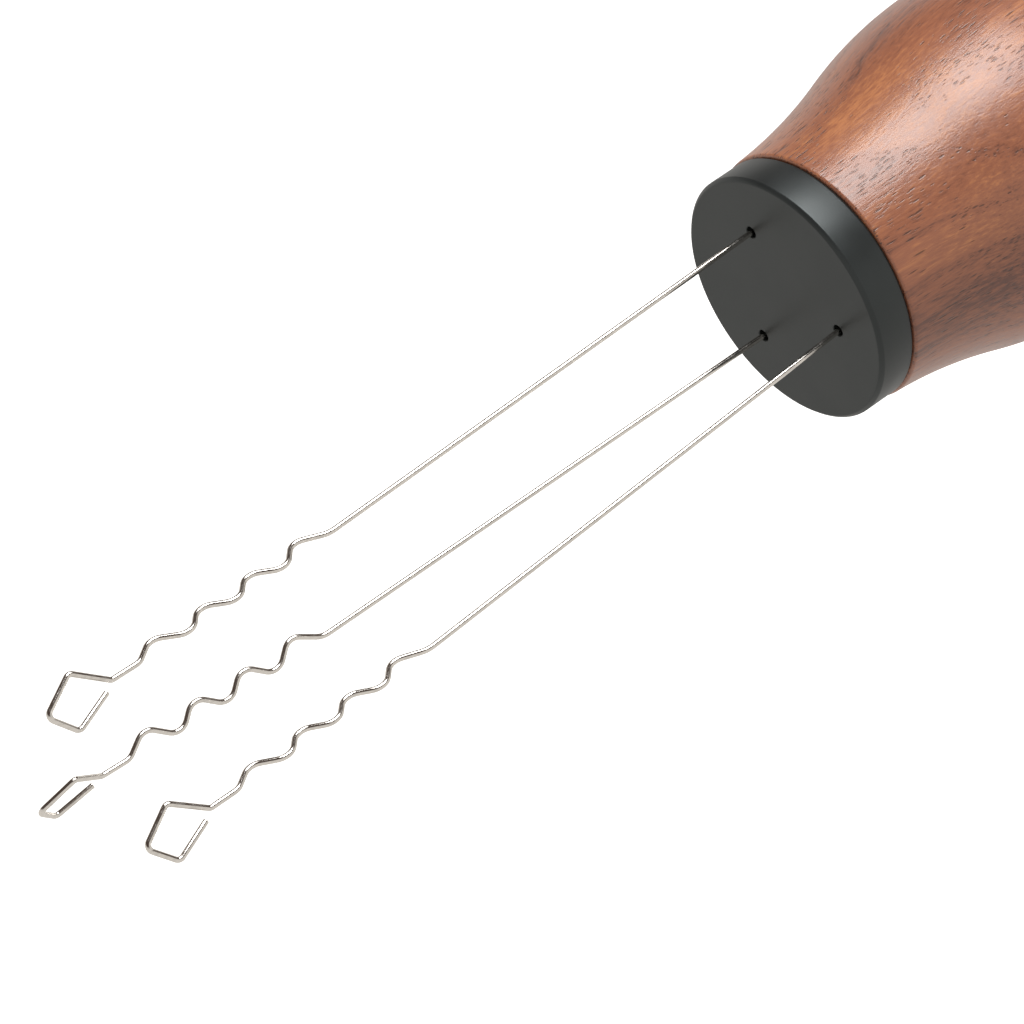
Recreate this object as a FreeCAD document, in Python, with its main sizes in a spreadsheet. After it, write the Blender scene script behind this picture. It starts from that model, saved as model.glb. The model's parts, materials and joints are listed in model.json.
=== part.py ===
import FreeCAD, Part
import Sketcher
import math
import os

# Needle distribution tool for loosening ground coffee: a turned walnut bulb grip with a black
# metal head that holds three wire needles.
# Millimetres. The origin is the middle of the grip's flat end, +Z runs up the tool's axis
# to the needle tips, and needle 1 leaves the head on the +X side.

Vector = FreeCAD.Vector
Z_AXIS = Vector(0, 0, 1)

# alias, value, meaning
DIMENSIONS = [
    ("handle_length", 56.0, "wooden grip, flat end to head"),
    ("bulb_radius", 19.1, "widest part of the grip"),
    ("bulb_height", 27.6, "height of the widest part above the flat end"),
    ("grip_curve", 46.0, "radius of the swelling curve of the grip"),
    ("throat_curve", 58.6, "radius of the hollow curve below the head"),
    ("neck_radius", 14.2, "grip where it meets the head"),
    ("base_edge", 7.0, "rounding between the grip's side and its flat end"),
    ("mouth_edge", 0.4, "rounding of the grip's edge at the head"),
    ("head_radius", 14.0, "black metal head"),
    ("head_thickness", 4.6, "visible band of the head"),
    ("face_chamfer", 0.35, "edge between the head's face and band"),
    ("rear_chamfer", 0.3, "edge between the head's band and the wood"),
    ("spigot_radius", 11.0, "round step on the head that centres it in the wood"),
    ("spigot_length", 5.0, "depth of that step"),
    ("spigot_gap", 0.1, "play between the step and the wood"),
    ("recess_radius", 10.0, "hollow inside the step"),
    ("recess_depth", 4.5, "depth of that hollow"),
    ("boss_radius", 5.0, "threaded boss in the middle of the hollow"),
    ("thread_radius", 3.0, "M6 thread of the stud"),
    ("thread_gap", 0.05, "play drawn between the stud and its threads"),
    ("stud_in_head", 7.0, "depth of the stud in the head's boss"),
    ("stud_in_grip", 13.0, "depth of the stud in the insert"),
    ("stud_socket", 1.75, "corner radius of the stud's hexagon socket"),
    ("stud_socket_depth", 2.5, "depth of that socket"),
    ("insert_radius", 4.5, "brass insert in the wood"),
    ("insert_length", 15.0, "length of the insert"),
    ("insert_barb", 0.25, "depth of the grooves between the insert's barbs"),
    ("insert_barb_pitch", 3.0, "spacing of those grooves"),
    ("insert_barb_groove", 1.0, "width of those grooves"),
    ("insert_bore_spare", 3.0, "bore in the wood below the insert"),
    ("needle_ring", 7.8, "distance of the needle holes from the tool's axis"),
    ("needle_hole_radius", 0.65, "loose hole for each needle"),
    ("face_wall", 2.0, "metal between the face and the needle pockets"),
    ("pocket_radius", 1.6, "pocket for each needle's collar"),
    ("plate_thickness", 1.0, "plate that closes the pockets"),
    ("plate_gap", 0.2, "play around the plate"),
    ("screw_radius", 0.8, "M1.6 plate screws"),
    ("screw_depth", 3.0, "thread of those screws in the head"),
    ("screw_head_radius", 1.5, "their pan heads"),
    ("screw_head_height", 0.9, "height of their pan heads"),
    ("screw_socket_radius", 0.75, "corner radius of their hexagon sockets"),
    ("screw_socket_depth", 0.5, "depth of those sockets"),
    ("screw_clearance", 0.1, "play around the screws in the plate"),
    ("collar_radius", 1.0, "brass collar crimped on each needle's tail"),
    ("collar_length", 2.4, "length of the collar"),
    ("collar_bore_gap", 0.01, "play drawn between collar and wire"),
    ("wire_radius", 0.3, "needle wire"),
    ("pivot_depth", 1.0, "point below the face about which a needle leans"),
    ("tail_length", 3.75, "wire below that point"),
    ("shank_length", 59.35, "straight wire above that point"),
    ("crest_pitch", 5.94, "length of one zigzag of the needle"),
    ("crest_height", 1.85, "crests of the zigzag above the shank's line"),
    ("crest_skew", 0.3, "how far each crest sits past the middle of its zigzag"),
    ("valley_depth", 0.8, "valleys of the zigzag below the shank's line"),
    ("start_bend", 2.5, "bend radius where the shank meets the zigzag"),
    ("crest_bend", 1.6, "bend radius in the zigzag"),
    ("hook_bend", 0.65, "bend radius in the hook"),
]

NEEDLE_COUNT = 3
CREST_COUNT = 4
HEXAGON = 6

# The open hook at the tip: corners of the bent wire, along and across the needle,
# from the end of the zigzag to the free end.
HOOK_CORNERS = [(3.4, 0.1), (6.8, 2.9), (10.95, 0.6), (8.75, -2.2), (4.4, -0.6)]

# The hook is bent in a plane turned this much from the zigzag's plane, in degrees.
HOOK_TWIST = -55.0

# Each needle is bent by hand, so each has its own lean: degrees outwards and sideways for the
# straight shank, the same for the zigzag, and the turn of the zigzag's plane about the needle.
NEEDLE_LEANS = [
    {"shank": (-0.7, -2.1), "tip": (0.3, -1.8), "turn": 61.6},
    {"shank": (3.4, -1.0), "tip": (0.5, -2.2), "turn": 3.8},
    {"shank": (3.3, -0.3), "tip": (0.3, -1.5), "turn": 65.0},
]

doc = FreeCAD.newDocument("needle_tool")


# ---------------------------------------------------------------- the sheet of dimensions

def fill_sheet():
    sheet = doc.addObject("Spreadsheet::Sheet", "dims")
    for row, (alias, value, meaning) in enumerate(DIMENSIONS, start=1):
        sheet.set("A%d" % row, alias)
        sheet.set("B%d" % row, str(value))
        sheet.set("C%d" % row, meaning)
        sheet.setAlias("B%d" % row, alias)
    doc.recompute()
    return sheet


dims = fill_sheet()


# ---------------------------------------------------------------- small modelling helpers

def new_body(label):
    body = doc.addObject("PartDesign::Body", label)
    body.Label = label
    return body


def origin_plane(body, role):
    for feature in body.Origin.OriginFeatures:
        if feature.Role == role:
            return feature
    raise RuntimeError("no origin plane " + role)


def flat_sketch(body, name, height):
    """A horizontal sketch at a height given as an expression."""
    sketch = body.newObject("Sketcher::SketchObject", name)
    sketch.AttachmentSupport = [(origin_plane(body, "XY_Plane"), "")]
    sketch.MapMode = "FlatFace"
    sketch.setExpression("AttachmentOffset.Base.z", height)
    return sketch


def add_circle(sketch, radius, offset=None):
    """A circle on the axis, or at an offset along X; both sizes are expressions."""
    start = Vector(1.0, 0, 0) if offset else Vector(0, 0, 0)
    circle = sketch.addGeometry(Part.Circle(start, Z_AXIS, 2.0), False)
    size = sketch.addConstraint(Sketcher.Constraint("Radius", circle, 2.0))
    sketch.setExpression("Constraints[%d]" % size, radius)
    if offset is None:
        sketch.addConstraint(Sketcher.Constraint("Coincident", circle, 3, -1, 1))
        return
    sketch.addConstraint(Sketcher.Constraint("PointOnObject", circle, 3, -1))
    shift = sketch.addConstraint(Sketcher.Constraint("DistanceX", -1, 1, circle, 3, 1.0))
    sketch.setExpression("Constraints[%d]" % shift, offset)


def add_hexagon(sketch, corner_radius):
    """A hexagon on the axis, held by the circle through its corners."""
    circle = sketch.addGeometry(Part.Circle(Vector(0, 0, 0), Z_AXIS, 1.0), True)
    sketch.addConstraint(Sketcher.Constraint("Coincident", circle, 3, -1, 1))
    size = sketch.addConstraint(Sketcher.Constraint("Radius", circle, 1.0))
    corners = []
    for number in range(HEXAGON):
        angle = 2 * math.pi * number / HEXAGON
        corners.append(Vector(math.cos(angle), math.sin(angle), 0))
    first = sketch.GeometryCount
    for number in range(HEXAGON):
        edge = Part.LineSegment(corners[number], corners[(number + 1) % HEXAGON])
        sketch.addGeometry(edge, False)
    for number in range(HEXAGON):
        line = first + number
        following = first + (number + 1) % HEXAGON
        sketch.addConstraint(Sketcher.Constraint("Coincident", line, 2, following, 1))
        sketch.addConstraint(Sketcher.Constraint("PointOnObject", line, 1, circle))
        if number:
            sketch.addConstraint(Sketcher.Constraint("Equal", first, line))
    sketch.addConstraint(Sketcher.Constraint("PointOnObject", first, 1, -1))
    sketch.setExpression("Constraints[%d]" % size, corner_radius)


def pad(body, name, sketch, length):
    feature = body.newObject("PartDesign::Pad", name)
    feature.Profile = sketch
    feature.setExpression("Length", length)
    sketch.Visibility = False
    doc.recompute()
    return feature


def pocket(body, name, sketch, depth, upwards=False):
    """A pocket that cuts downwards from its sketch, or upwards if asked."""
    before = body.Shape.Volume
    feature = body.newObject("PartDesign::Pocket", name)
    feature.Profile = sketch
    feature.Reversed = upwards
    feature.setExpression("Length", depth)
    doc.recompute()
    if body.Shape.Volume >= before:
        raise RuntimeError(name + " cuts nothing")
    return feature


def around_axis(body, name, features, count):
    """Repeats features evenly about the tool's axis."""
    pattern = body.newObject("PartDesign::PolarPattern", name)
    pattern.Originals = features
    pattern.Axis = (origin_plane(body, "Z_Axis"), [""])
    pattern.Angle = 360.0
    pattern.Occurrences = count
    body.Tip = pattern
    doc.recompute()
    return pattern


def edge_at(shape, radius, height):
    """The name of the full-circle edge of a given radius at a given height."""
    for number, edge in enumerate(shape.Edges, start=1):
        round_edge = isinstance(edge.Curve, Part.Circle)
        if round_edge and abs(edge.Curve.Radius - radius) < 0.01:
            if abs(edge.Curve.Center.z - height) < 0.01:
                return "Edge%d" % number
    raise RuntimeError("no round edge of radius %.2f at height %.2f" % (radius, height))


def soften_edge(body, kind, name, radius, height, size):
    """A PartDesign Chamfer or Fillet on one round edge; size is an expression."""
    base = body.Tip
    feature = body.newObject("PartDesign::" + kind, name)
    feature.Base = (base, [edge_at(base.Shape, radius, height)])
    feature.setExpression("Size" if kind == "Chamfer" else "Radius", size)
    doc.recompute()
    return feature


# ---------------------------------------------------------------- grip

def grip_outline(sketch):
    """Half outline of the grip: flat end, swelling arc, hollow throat arc, flat mouth."""
    bulb = dims.bulb_radius
    height = dims.bulb_height
    swell = dims.grip_curve
    hollow = dims.throat_curve
    swell_centre = Vector(bulb - swell, height, 0)
    mouth = Vector(dims.neck_radius, dims.handle_length, 0)

    # The two arcs touch outside each other, and the hollow one ends at the mouth.
    reach = mouth - swell_centre
    gap = swell + hollow
    span = reach.Length
    turn = math.acos((gap ** 2 + span ** 2 - hollow ** 2) / (2 * gap * span))
    heading = math.atan2(reach.y, reach.x) - turn
    hollow_centre = swell_centre + Vector(math.cos(heading), math.sin(heading), 0) * gap
    base_angle = -math.asin(height / swell)
    base = swell_centre + Vector(math.cos(base_angle), math.sin(base_angle), 0) * swell
    mouth_angle = math.atan2(mouth.y - hollow_centre.y, mouth.x - hollow_centre.x) % (2 * math.pi)

    flat = sketch.addGeometry(Part.LineSegment(Vector(0, 0, 0), base), False)
    swell_arc = sketch.addGeometry(
        Part.ArcOfCircle(Part.Circle(swell_centre, Z_AXIS, swell), base_angle, heading), False)
    hollow_arc = sketch.addGeometry(
        Part.ArcOfCircle(Part.Circle(hollow_centre, Z_AXIS, hollow),
                         mouth_angle, heading + math.pi), False)
    top = sketch.addGeometry(Part.LineSegment(mouth, Vector(0, mouth.y, 0)), False)
    axis = sketch.addGeometry(Part.LineSegment(Vector(0, mouth.y, 0), Vector(0, 0, 0)), False)

    join = Sketcher.Constraint
    sketch.addConstraint(join("Coincident", flat, 1, -1, 1))
    sketch.addConstraint(join("PointOnObject", flat, 2, -1))
    sketch.addConstraint(join("Coincident", flat, 2, swell_arc, 1))
    sketch.addConstraint(join("Tangent", swell_arc, 2, hollow_arc, 2))
    sketch.addConstraint(join("Coincident", hollow_arc, 1, top, 1))
    sketch.addConstraint(join("Horizontal", top))
    sketch.addConstraint(join("Coincident", top, 2, axis, 1))
    sketch.addConstraint(join("Coincident", axis, 2, -1, 1))
    sketch.addConstraint(join("PointOnObject", axis, 1, -2))

    sizes = [
        (join("Radius", swell_arc, swell), "dims.grip_curve"),
        (join("Radius", hollow_arc, hollow), "dims.throat_curve"),
        (join("DistanceX", swell_arc, 3, -1, 1, swell - bulb), "dims.grip_curve - dims.bulb_radius"),
        (join("DistanceY", -1, 1, swell_arc, 3, height), "dims.bulb_height"),
        (join("DistanceX", -1, 1, top, 1, mouth.x), "dims.neck_radius"),
        (join("DistanceY", -1, 1, top, 1, mouth.y), "dims.handle_length"),
    ]
    for constraint, expression in sizes:
        number = sketch.addConstraint(constraint)
        sketch.setExpression("Constraints[%d]" % number, expression)


def make_handle():
    body = new_body("handle")
    outline = body.newObject("Sketcher::SketchObject", "grip_outline")
    outline.AttachmentSupport = [(origin_plane(body, "XZ_Plane"), "")]
    outline.MapMode = "FlatFace"
    grip_outline(outline)
    turned = body.newObject("PartDesign::Revolution", "turned_grip")
    turned.Profile = outline
    turned.ReferenceAxis = (outline, ["V_Axis"])
    turned.Angle = 360.0
    doc.recompute()
    flat_radius = dims.bulb_radius - dims.grip_curve
    flat_radius += math.sqrt(dims.grip_curve ** 2 - dims.bulb_height ** 2)
    soften_edge(body, "Fillet", "base_rounding", flat_radius, 0.0, "dims.base_edge")
    soften_edge(body, "Fillet", "mouth_rounding", dims.neck_radius, dims.handle_length,
                "dims.mouth_edge")

    mouth = flat_sketch(body, "spigot_seat_circle", "dims.handle_length")
    add_circle(mouth, "dims.spigot_radius + dims.spigot_gap")
    pocket(body, "spigot_seat", mouth, "dims.spigot_length + dims.spigot_gap")
    bore = flat_sketch(body, "insert_bore_circle",
                       "dims.handle_length - dims.spigot_length - dims.spigot_gap")
    add_circle(bore, "dims.insert_radius")
    pocket(body, "insert_bore", bore, "dims.insert_length + dims.insert_bore_spare")
    return body


# ---------------------------------------------------------------- insert and stud

def make_insert():
    body = new_body("threaded_insert")
    top = "dims.handle_length - dims.spigot_length - dims.spigot_gap"
    tube = flat_sketch(body, "insert_circles", top + " - dims.insert_length")
    add_circle(tube, "dims.insert_radius")
    add_circle(tube, "dims.thread_radius + dims.thread_gap")
    pad(body, "insert_tube", tube, "dims.insert_length")
    groove_count = int(dims.insert_length / dims.insert_barb_pitch) - 1
    for number in range(groove_count):
        level = "%s - %d * dims.insert_barb_pitch" % (top, number + 1)
        ring = flat_sketch(body, "barb_circles_%d" % (number + 1), level)
        add_circle(ring, "dims.insert_radius + dims.insert_barb")
        add_circle(ring, "dims.insert_radius - dims.insert_barb")
        pocket(body, "barb_groove_%d" % (number + 1), ring, "dims.insert_barb_groove")
    return body


def make_stud():
    body = new_body("head_stud")
    shoulder = "dims.handle_length - dims.spigot_length"
    rod = flat_sketch(body, "stud_circle", shoulder + " - dims.stud_in_grip")
    add_circle(rod, "dims.thread_radius")
    pad(body, "stud_rod", rod, "dims.stud_in_grip + dims.stud_in_head")
    socket = flat_sketch(body, "stud_hexagon", shoulder + " - dims.stud_in_grip")
    add_hexagon(socket, "dims.stud_socket")
    pocket(body, "stud_socket", socket, "dims.stud_socket_depth", upwards=True)
    return body


# ---------------------------------------------------------------- head

RECESS_FLOOR = "dims.handle_length - dims.spigot_length + dims.recess_depth"
FACE = "dims.handle_length + dims.head_thickness"


def make_head():
    body = new_body("needle_head")
    disc = flat_sketch(body, "head_circle", "dims.handle_length")
    add_circle(disc, "dims.head_radius")
    pad(body, "head_disc", disc, "dims.head_thickness")
    face_height = dims.handle_length + dims.head_thickness
    soften_edge(body, "Chamfer", "face_edge", dims.head_radius, face_height, "dims.face_chamfer")
    soften_edge(body, "Chamfer", "rear_edge", dims.head_radius, dims.handle_length,
                "dims.rear_chamfer")

    spigot = flat_sketch(body, "spigot_circle", "dims.handle_length - dims.spigot_length")
    add_circle(spigot, "dims.spigot_radius")
    pad(body, "spigot", spigot, "dims.spigot_length")
    hollow = flat_sketch(body, "recess_circles", RECESS_FLOOR)
    add_circle(hollow, "dims.recess_radius")
    add_circle(hollow, "dims.boss_radius")
    pocket(body, "recess", hollow, "dims.recess_depth")
    thread = flat_sketch(body, "boss_thread_circle", "dims.handle_length - dims.spigot_length")
    add_circle(thread, "dims.thread_radius + dims.thread_gap")
    pocket(body, "boss_thread", thread, "dims.stud_in_head + dims.thread_gap", upwards=True)

    hole = flat_sketch(body, "needle_hole_circle", FACE)
    add_circle(hole, "dims.needle_hole_radius", "dims.needle_ring")
    first_hole = pocket(body, "needle_hole", hole, "dims.head_thickness")
    seat = flat_sketch(body, "collar_pocket_circle", FACE + " - dims.face_wall")
    add_circle(seat, "dims.pocket_radius", "dims.needle_ring")
    first_pocket = pocket(body, "collar_pocket", seat, "dims.head_thickness")
    tapped = flat_sketch(body, "screw_thread_circle", RECESS_FLOOR + " + dims.screw_depth")
    add_circle(tapped, "dims.screw_radius + dims.thread_gap", "-dims.needle_ring")
    first_thread = pocket(body, "screw_thread", tapped, "dims.screw_depth")
    around_axis(body, "three_needles", [first_hole, first_pocket, first_thread], NEEDLE_COUNT)
    return body


# ---------------------------------------------------------------- plate and its screws

def make_plate():
    body = new_body("retaining_plate")
    disc = flat_sketch(body, "plate_circles", RECESS_FLOOR + " - dims.plate_thickness")
    add_circle(disc, "dims.recess_radius - dims.plate_gap")
    add_circle(disc, "dims.boss_radius + dims.plate_gap")
    pad(body, "plate_disc", disc, "dims.plate_thickness")
    hole = flat_sketch(body, "screw_hole_circle", RECESS_FLOOR)
    add_circle(hole, "dims.screw_radius + dims.screw_clearance", "-dims.needle_ring")
    first_hole = pocket(body, "screw_hole", hole, "dims.plate_thickness")
    around_axis(body, "three_screw_holes", [first_hole], NEEDLE_COUNT)
    return body


def make_plate_screws():
    """Three pan-head screws opposite the needles, in one group of separate solids."""
    plate_underside = (dims.handle_length - dims.spigot_length + dims.recess_depth
                       - dims.plate_thickness)
    thread_end = plate_underside + dims.plate_thickness + dims.screw_depth - dims.thread_gap
    head_bottom = plate_underside - dims.screw_head_height
    place = Vector(-dims.needle_ring, 0, head_bottom)
    head = Part.makeCylinder(dims.screw_head_radius, dims.screw_head_height, place)
    shank = Part.makeCylinder(dims.screw_radius, thread_end - head_bottom, place)
    corners = []
    for number in range(HEXAGON + 1):
        angle = 2 * math.pi * number / HEXAGON
        corners.append(place + Vector(math.cos(angle), math.sin(angle), 0) * dims.screw_socket_radius)
    socket = Part.Face(Part.makePolygon(corners)).extrude(Z_AXIS * dims.screw_socket_depth)
    screw = head.fuse(shank).removeSplitter().cut(socket)
    screws = []
    for number in range(NEEDLE_COUNT):
        copy = screw.copy()
        copy.rotate(Vector(0, 0, 0), Z_AXIS, number * 360.0 / NEEDLE_COUNT)
        screws.append(copy)
    group = doc.addObject("Part::Feature", "plate_screws")
    group.Label = "plate_screws"
    group.Shape = Part.Compound(screws)
    return group


# ---------------------------------------------------------------- needles and their collars

def lean_direction(around, lean):
    """Unit direction near +Z that leans outwards and sideways, seen from the hole."""
    outwards, sideways = lean
    slope = Vector(math.tan(math.radians(outwards)), math.tan(math.radians(sideways)), 1)
    direction = FreeCAD.Rotation(Z_AXIS, around).multVec(slope)
    return direction.normalize()


def across(direction, turn):
    """Unit vector across a direction, turned about it from the +X side."""
    sideways = Vector(1, 0, 0) - direction * direction.x
    sideways.normalize()
    return FreeCAD.Rotation(direction, turn).multVec(sideways)


def needle_pivot(around):
    height = dims.handle_length + dims.head_thickness - dims.pivot_depth
    spoke = Vector(dims.needle_ring, 0, height)
    return FreeCAD.Rotation(Z_AXIS, around).multVec(spoke)


def needle_corners(around, leans):
    """The bent wire's corners with their bend radii, from the tail to the hook's free end."""
    pivot = needle_pivot(around)
    shank = lean_direction(around, leans["shank"])
    tip = lean_direction(around, leans["tip"])
    crest_side = across(tip, leans["turn"])
    hook_side = across(tip, leans["turn"] + HOOK_TWIST)
    start = pivot + shank * dims.shank_length
    corners = [(pivot - shank * dims.tail_length, 0.0), (start, dims.start_bend)]
    for number in range(CREST_COUNT):
        valley = start + tip * (number * dims.crest_pitch) - crest_side * dims.valley_depth
        if number > 0:
            corners.append((valley, dims.crest_bend))
        crest = (number + 0.5) * dims.crest_pitch + dims.crest_skew
        corners.append((start + tip * crest + crest_side * dims.crest_height, dims.crest_bend))
    zigzag_end = start + tip * (CREST_COUNT * dims.crest_pitch)
    corners.append((zigzag_end, dims.crest_bend))
    for along, sideways in HOOK_CORNERS:
        corners.append((zigzag_end + tip * along + hook_side * sideways, dims.hook_bend))
    return corners


def wire_path(corners):
    """Straight runs joined by tangent arcs."""
    edges = []
    here = corners[0][0]
    for number in range(1, len(corners) - 1):
        corner, bend = corners[number]
        back = (corners[number - 1][0] - corner).normalize()
        onward = (corners[number + 1][0] - corner).normalize()
        turn = math.pi - back.getAngle(onward)
        setback = bend * math.tan(turn / 2)
        arc_start = corner + back * setback
        arc_end = corner + onward * setback
        inwards = (back + onward).normalize()
        arc_middle = corner + inwards * (bend / math.cos(turn / 2) - bend)
        edges.append(Part.LineSegment(here, arc_start).toShape())
        edges.append(Part.Arc(arc_start, arc_middle, arc_end).toShape())
        here = arc_end
    edges.append(Part.LineSegment(here, corners[-1][0]).toShape())
    return Part.Wire(edges)


def make_needle(number, around, leans):
    path = wire_path(needle_corners(around, leans))
    start = path.Vertexes[0].Point
    direction = lean_direction(around, leans["shank"])
    section = Part.Wire([Part.Circle(start, direction, dims.wire_radius).toShape()])
    wire = path.makePipeShell([section], True, False)
    expected = math.pi * dims.wire_radius ** 2 * path.Length
    if abs(wire.Volume - expected) > 0.01 * expected:
        raise RuntimeError("needle %d has the wrong volume" % number)
    label = "needle_%d" % number
    needle = doc.addObject("Part::Feature", label)
    needle.Label = label
    needle.Shape = wire
    return needle


def make_collar(number, around, leans):
    """A short tube on the needle's tail, too wide for the hole in the face."""
    label = "collar_%d" % number
    tube = doc.addObject("Part::Cylinder", label + "_tube")
    tube.setExpression("Radius", "dims.collar_radius")
    tube.setExpression("Height", "dims.collar_length")
    bore = doc.addObject("Part::Cylinder", label + "_bore")
    bore.setExpression("Radius", "dims.wire_radius + dims.collar_bore_gap")
    bore.setExpression("Height", "dims.collar_length")
    collar = doc.addObject("Part::Cut", label)
    collar.Label = label
    collar.Base = tube
    collar.Tool = bore
    direction = lean_direction(around, leans["shank"])
    tail_end = needle_pivot(around) - direction * dims.tail_length
    collar.Placement = FreeCAD.Placement(tail_end, FreeCAD.Rotation(Z_AXIS, direction))
    doc.recompute()
    return collar


# ---------------------------------------------------------------- the whole tool

def make_tool():
    pieces = [
        make_handle(),
        make_insert(),
        make_stud(),
        make_head(),
        make_plate(),
        make_plate_screws(),
    ]
    for index, leans in enumerate(NEEDLE_LEANS):
        around = index * 360.0 / NEEDLE_COUNT
        pieces.append(make_needle(index + 1, around, leans))
        pieces.append(make_collar(index + 1, around, leans))
    doc.recompute()
    return pieces


def check(pieces):
    for item in doc.Objects:
        if "Invalid" in item.State or "Error" in item.State:
            raise RuntimeError(item.Label + " failed to compute")
    for piece in pieces:
        if piece.Shape.isNull() or not piece.Shape.isValid():
            raise RuntimeError(piece.Label + " has no valid shape")


def export(pieces):
    os.makedirs("parts", exist_ok=True)
    for piece in pieces:
        piece.Shape.exportStep("parts/%s.step" % piece.Label)
        box = piece.Shape.optimalBoundingBox()
        print("%-16s volume %9.2f  x %7.2f..%6.2f  y %7.2f..%6.2f  z %7.2f..%6.2f" % (
            piece.Label, piece.Shape.Volume, box.XMin, box.XMax, box.YMin, box.YMax,
            box.ZMin, box.ZMax))


tool = make_tool()
check(tool)
export(tool)
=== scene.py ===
import json
import math

import bmesh
import bpy
from bpy.props import FloatProperty, FloatVectorProperty, IntProperty, PointerProperty
from bpy.types import Operator, Panel, PropertyGroup
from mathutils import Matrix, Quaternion, Vector


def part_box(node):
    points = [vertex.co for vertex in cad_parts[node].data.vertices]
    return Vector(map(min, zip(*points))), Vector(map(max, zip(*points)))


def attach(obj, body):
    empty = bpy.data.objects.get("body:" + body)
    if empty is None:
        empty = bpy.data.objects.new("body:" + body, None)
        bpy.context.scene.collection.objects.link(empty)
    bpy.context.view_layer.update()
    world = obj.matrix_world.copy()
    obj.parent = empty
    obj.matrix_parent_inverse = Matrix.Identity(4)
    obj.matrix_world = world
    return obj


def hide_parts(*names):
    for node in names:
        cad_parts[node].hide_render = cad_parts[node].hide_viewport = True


bl_info = {
    "name": "Needle Distribution Tool",
    "version": (1, 0, 0),
    "blender": (4, 5, 0),
    "location": "3D View > Sidebar > Needle Tool",
    "description": "Builds a coffee needle distribution tool with a turned walnut grip",
    "category": "Object",
}

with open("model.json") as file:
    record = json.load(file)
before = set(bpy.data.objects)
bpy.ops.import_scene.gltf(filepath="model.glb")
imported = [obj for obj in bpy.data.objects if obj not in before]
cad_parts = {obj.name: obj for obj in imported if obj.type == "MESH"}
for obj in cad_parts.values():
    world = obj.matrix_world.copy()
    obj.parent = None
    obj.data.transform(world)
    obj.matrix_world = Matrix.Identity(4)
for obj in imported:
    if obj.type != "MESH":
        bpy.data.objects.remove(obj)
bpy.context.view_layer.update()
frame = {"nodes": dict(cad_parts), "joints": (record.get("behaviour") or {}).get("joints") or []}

MM = 0.001
HANDLE_LOW, HANDLE_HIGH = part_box("handle")
HEAD_LOW, HEAD_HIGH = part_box("needle_head")
INSERT_LOW, INSERT_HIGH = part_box("threaded_insert")
PLATE_LOW, PLATE_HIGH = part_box("retaining_plate")
FACE_HEIGHT = HEAD_HIGH.z
NEEDLE_JOINTS = frame["joints"]

SHARP_ANGLE = math.radians(35.0)      # steeper edges stay crisp in smooth shading


# ================================================================ sizes and colours

class GripSettings(PropertyGroup):
    """Turned walnut grip."""
    bulb_height: FloatProperty(
        name="Bulb height", description="Height of the widest part above the flat end",
        default=27.6 * MM, subtype="DISTANCE", unit="LENGTH")
    swell_curve: FloatProperty(
        name="Swell curve", description="Radius of the swelling curve",
        default=46.0 * MM, subtype="DISTANCE", unit="LENGTH")
    throat_curve: FloatProperty(
        name="Throat curve", description="Radius of the hollow curve below the head",
        default=58.6 * MM, subtype="DISTANCE", unit="LENGTH")
    neck_radius: FloatProperty(
        name="Neck radius", description="Grip where it meets the head",
        default=14.2 * MM, subtype="DISTANCE", unit="LENGTH")
    base_edge: FloatProperty(
        name="Base rounding", description="Rounding between side and flat end",
        default=7.0 * MM, subtype="DISTANCE", unit="LENGTH")
    mouth_edge: FloatProperty(
        name="Mouth rounding", description="Rounding of the edge at the head",
        default=0.4 * MM, subtype="DISTANCE", unit="LENGTH")
    seat_gap: FloatProperty(
        name="Seat gap", description="Play between the head's spigot and the wood",
        default=0.1 * MM, subtype="DISTANCE", unit="LENGTH")
    bore_spare: FloatProperty(
        name="Spare bore", description="Empty bore below the threaded insert",
        default=3.0 * MM, subtype="DISTANCE", unit="LENGTH")
    sides: IntProperty(name="Sides", description="Faces round the grip", default=160, min=12)
    dark_wood: FloatVectorProperty(
        name="Dark wood", description="Walnut in its darkest layers",
        default=(0.125, 0.047, 0.031), subtype="COLOR", min=0.0, max=1.0)
    middle_wood: FloatVectorProperty(
        name="Middle wood", description="Main walnut colour",
        default=(0.282, 0.101, 0.051), subtype="COLOR", min=0.0, max=1.0)
    light_wood: FloatVectorProperty(
        name="Light wood", description="Walnut in its lightest layers",
        default=(0.435, 0.168, 0.067), subtype="COLOR", min=0.0, max=1.0)
    pore_colour: FloatVectorProperty(
        name="Pores", description="Open pores of the wood",
        default=(0.040, 0.016, 0.011), subtype="COLOR", min=0.0, max=1.0)


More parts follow.
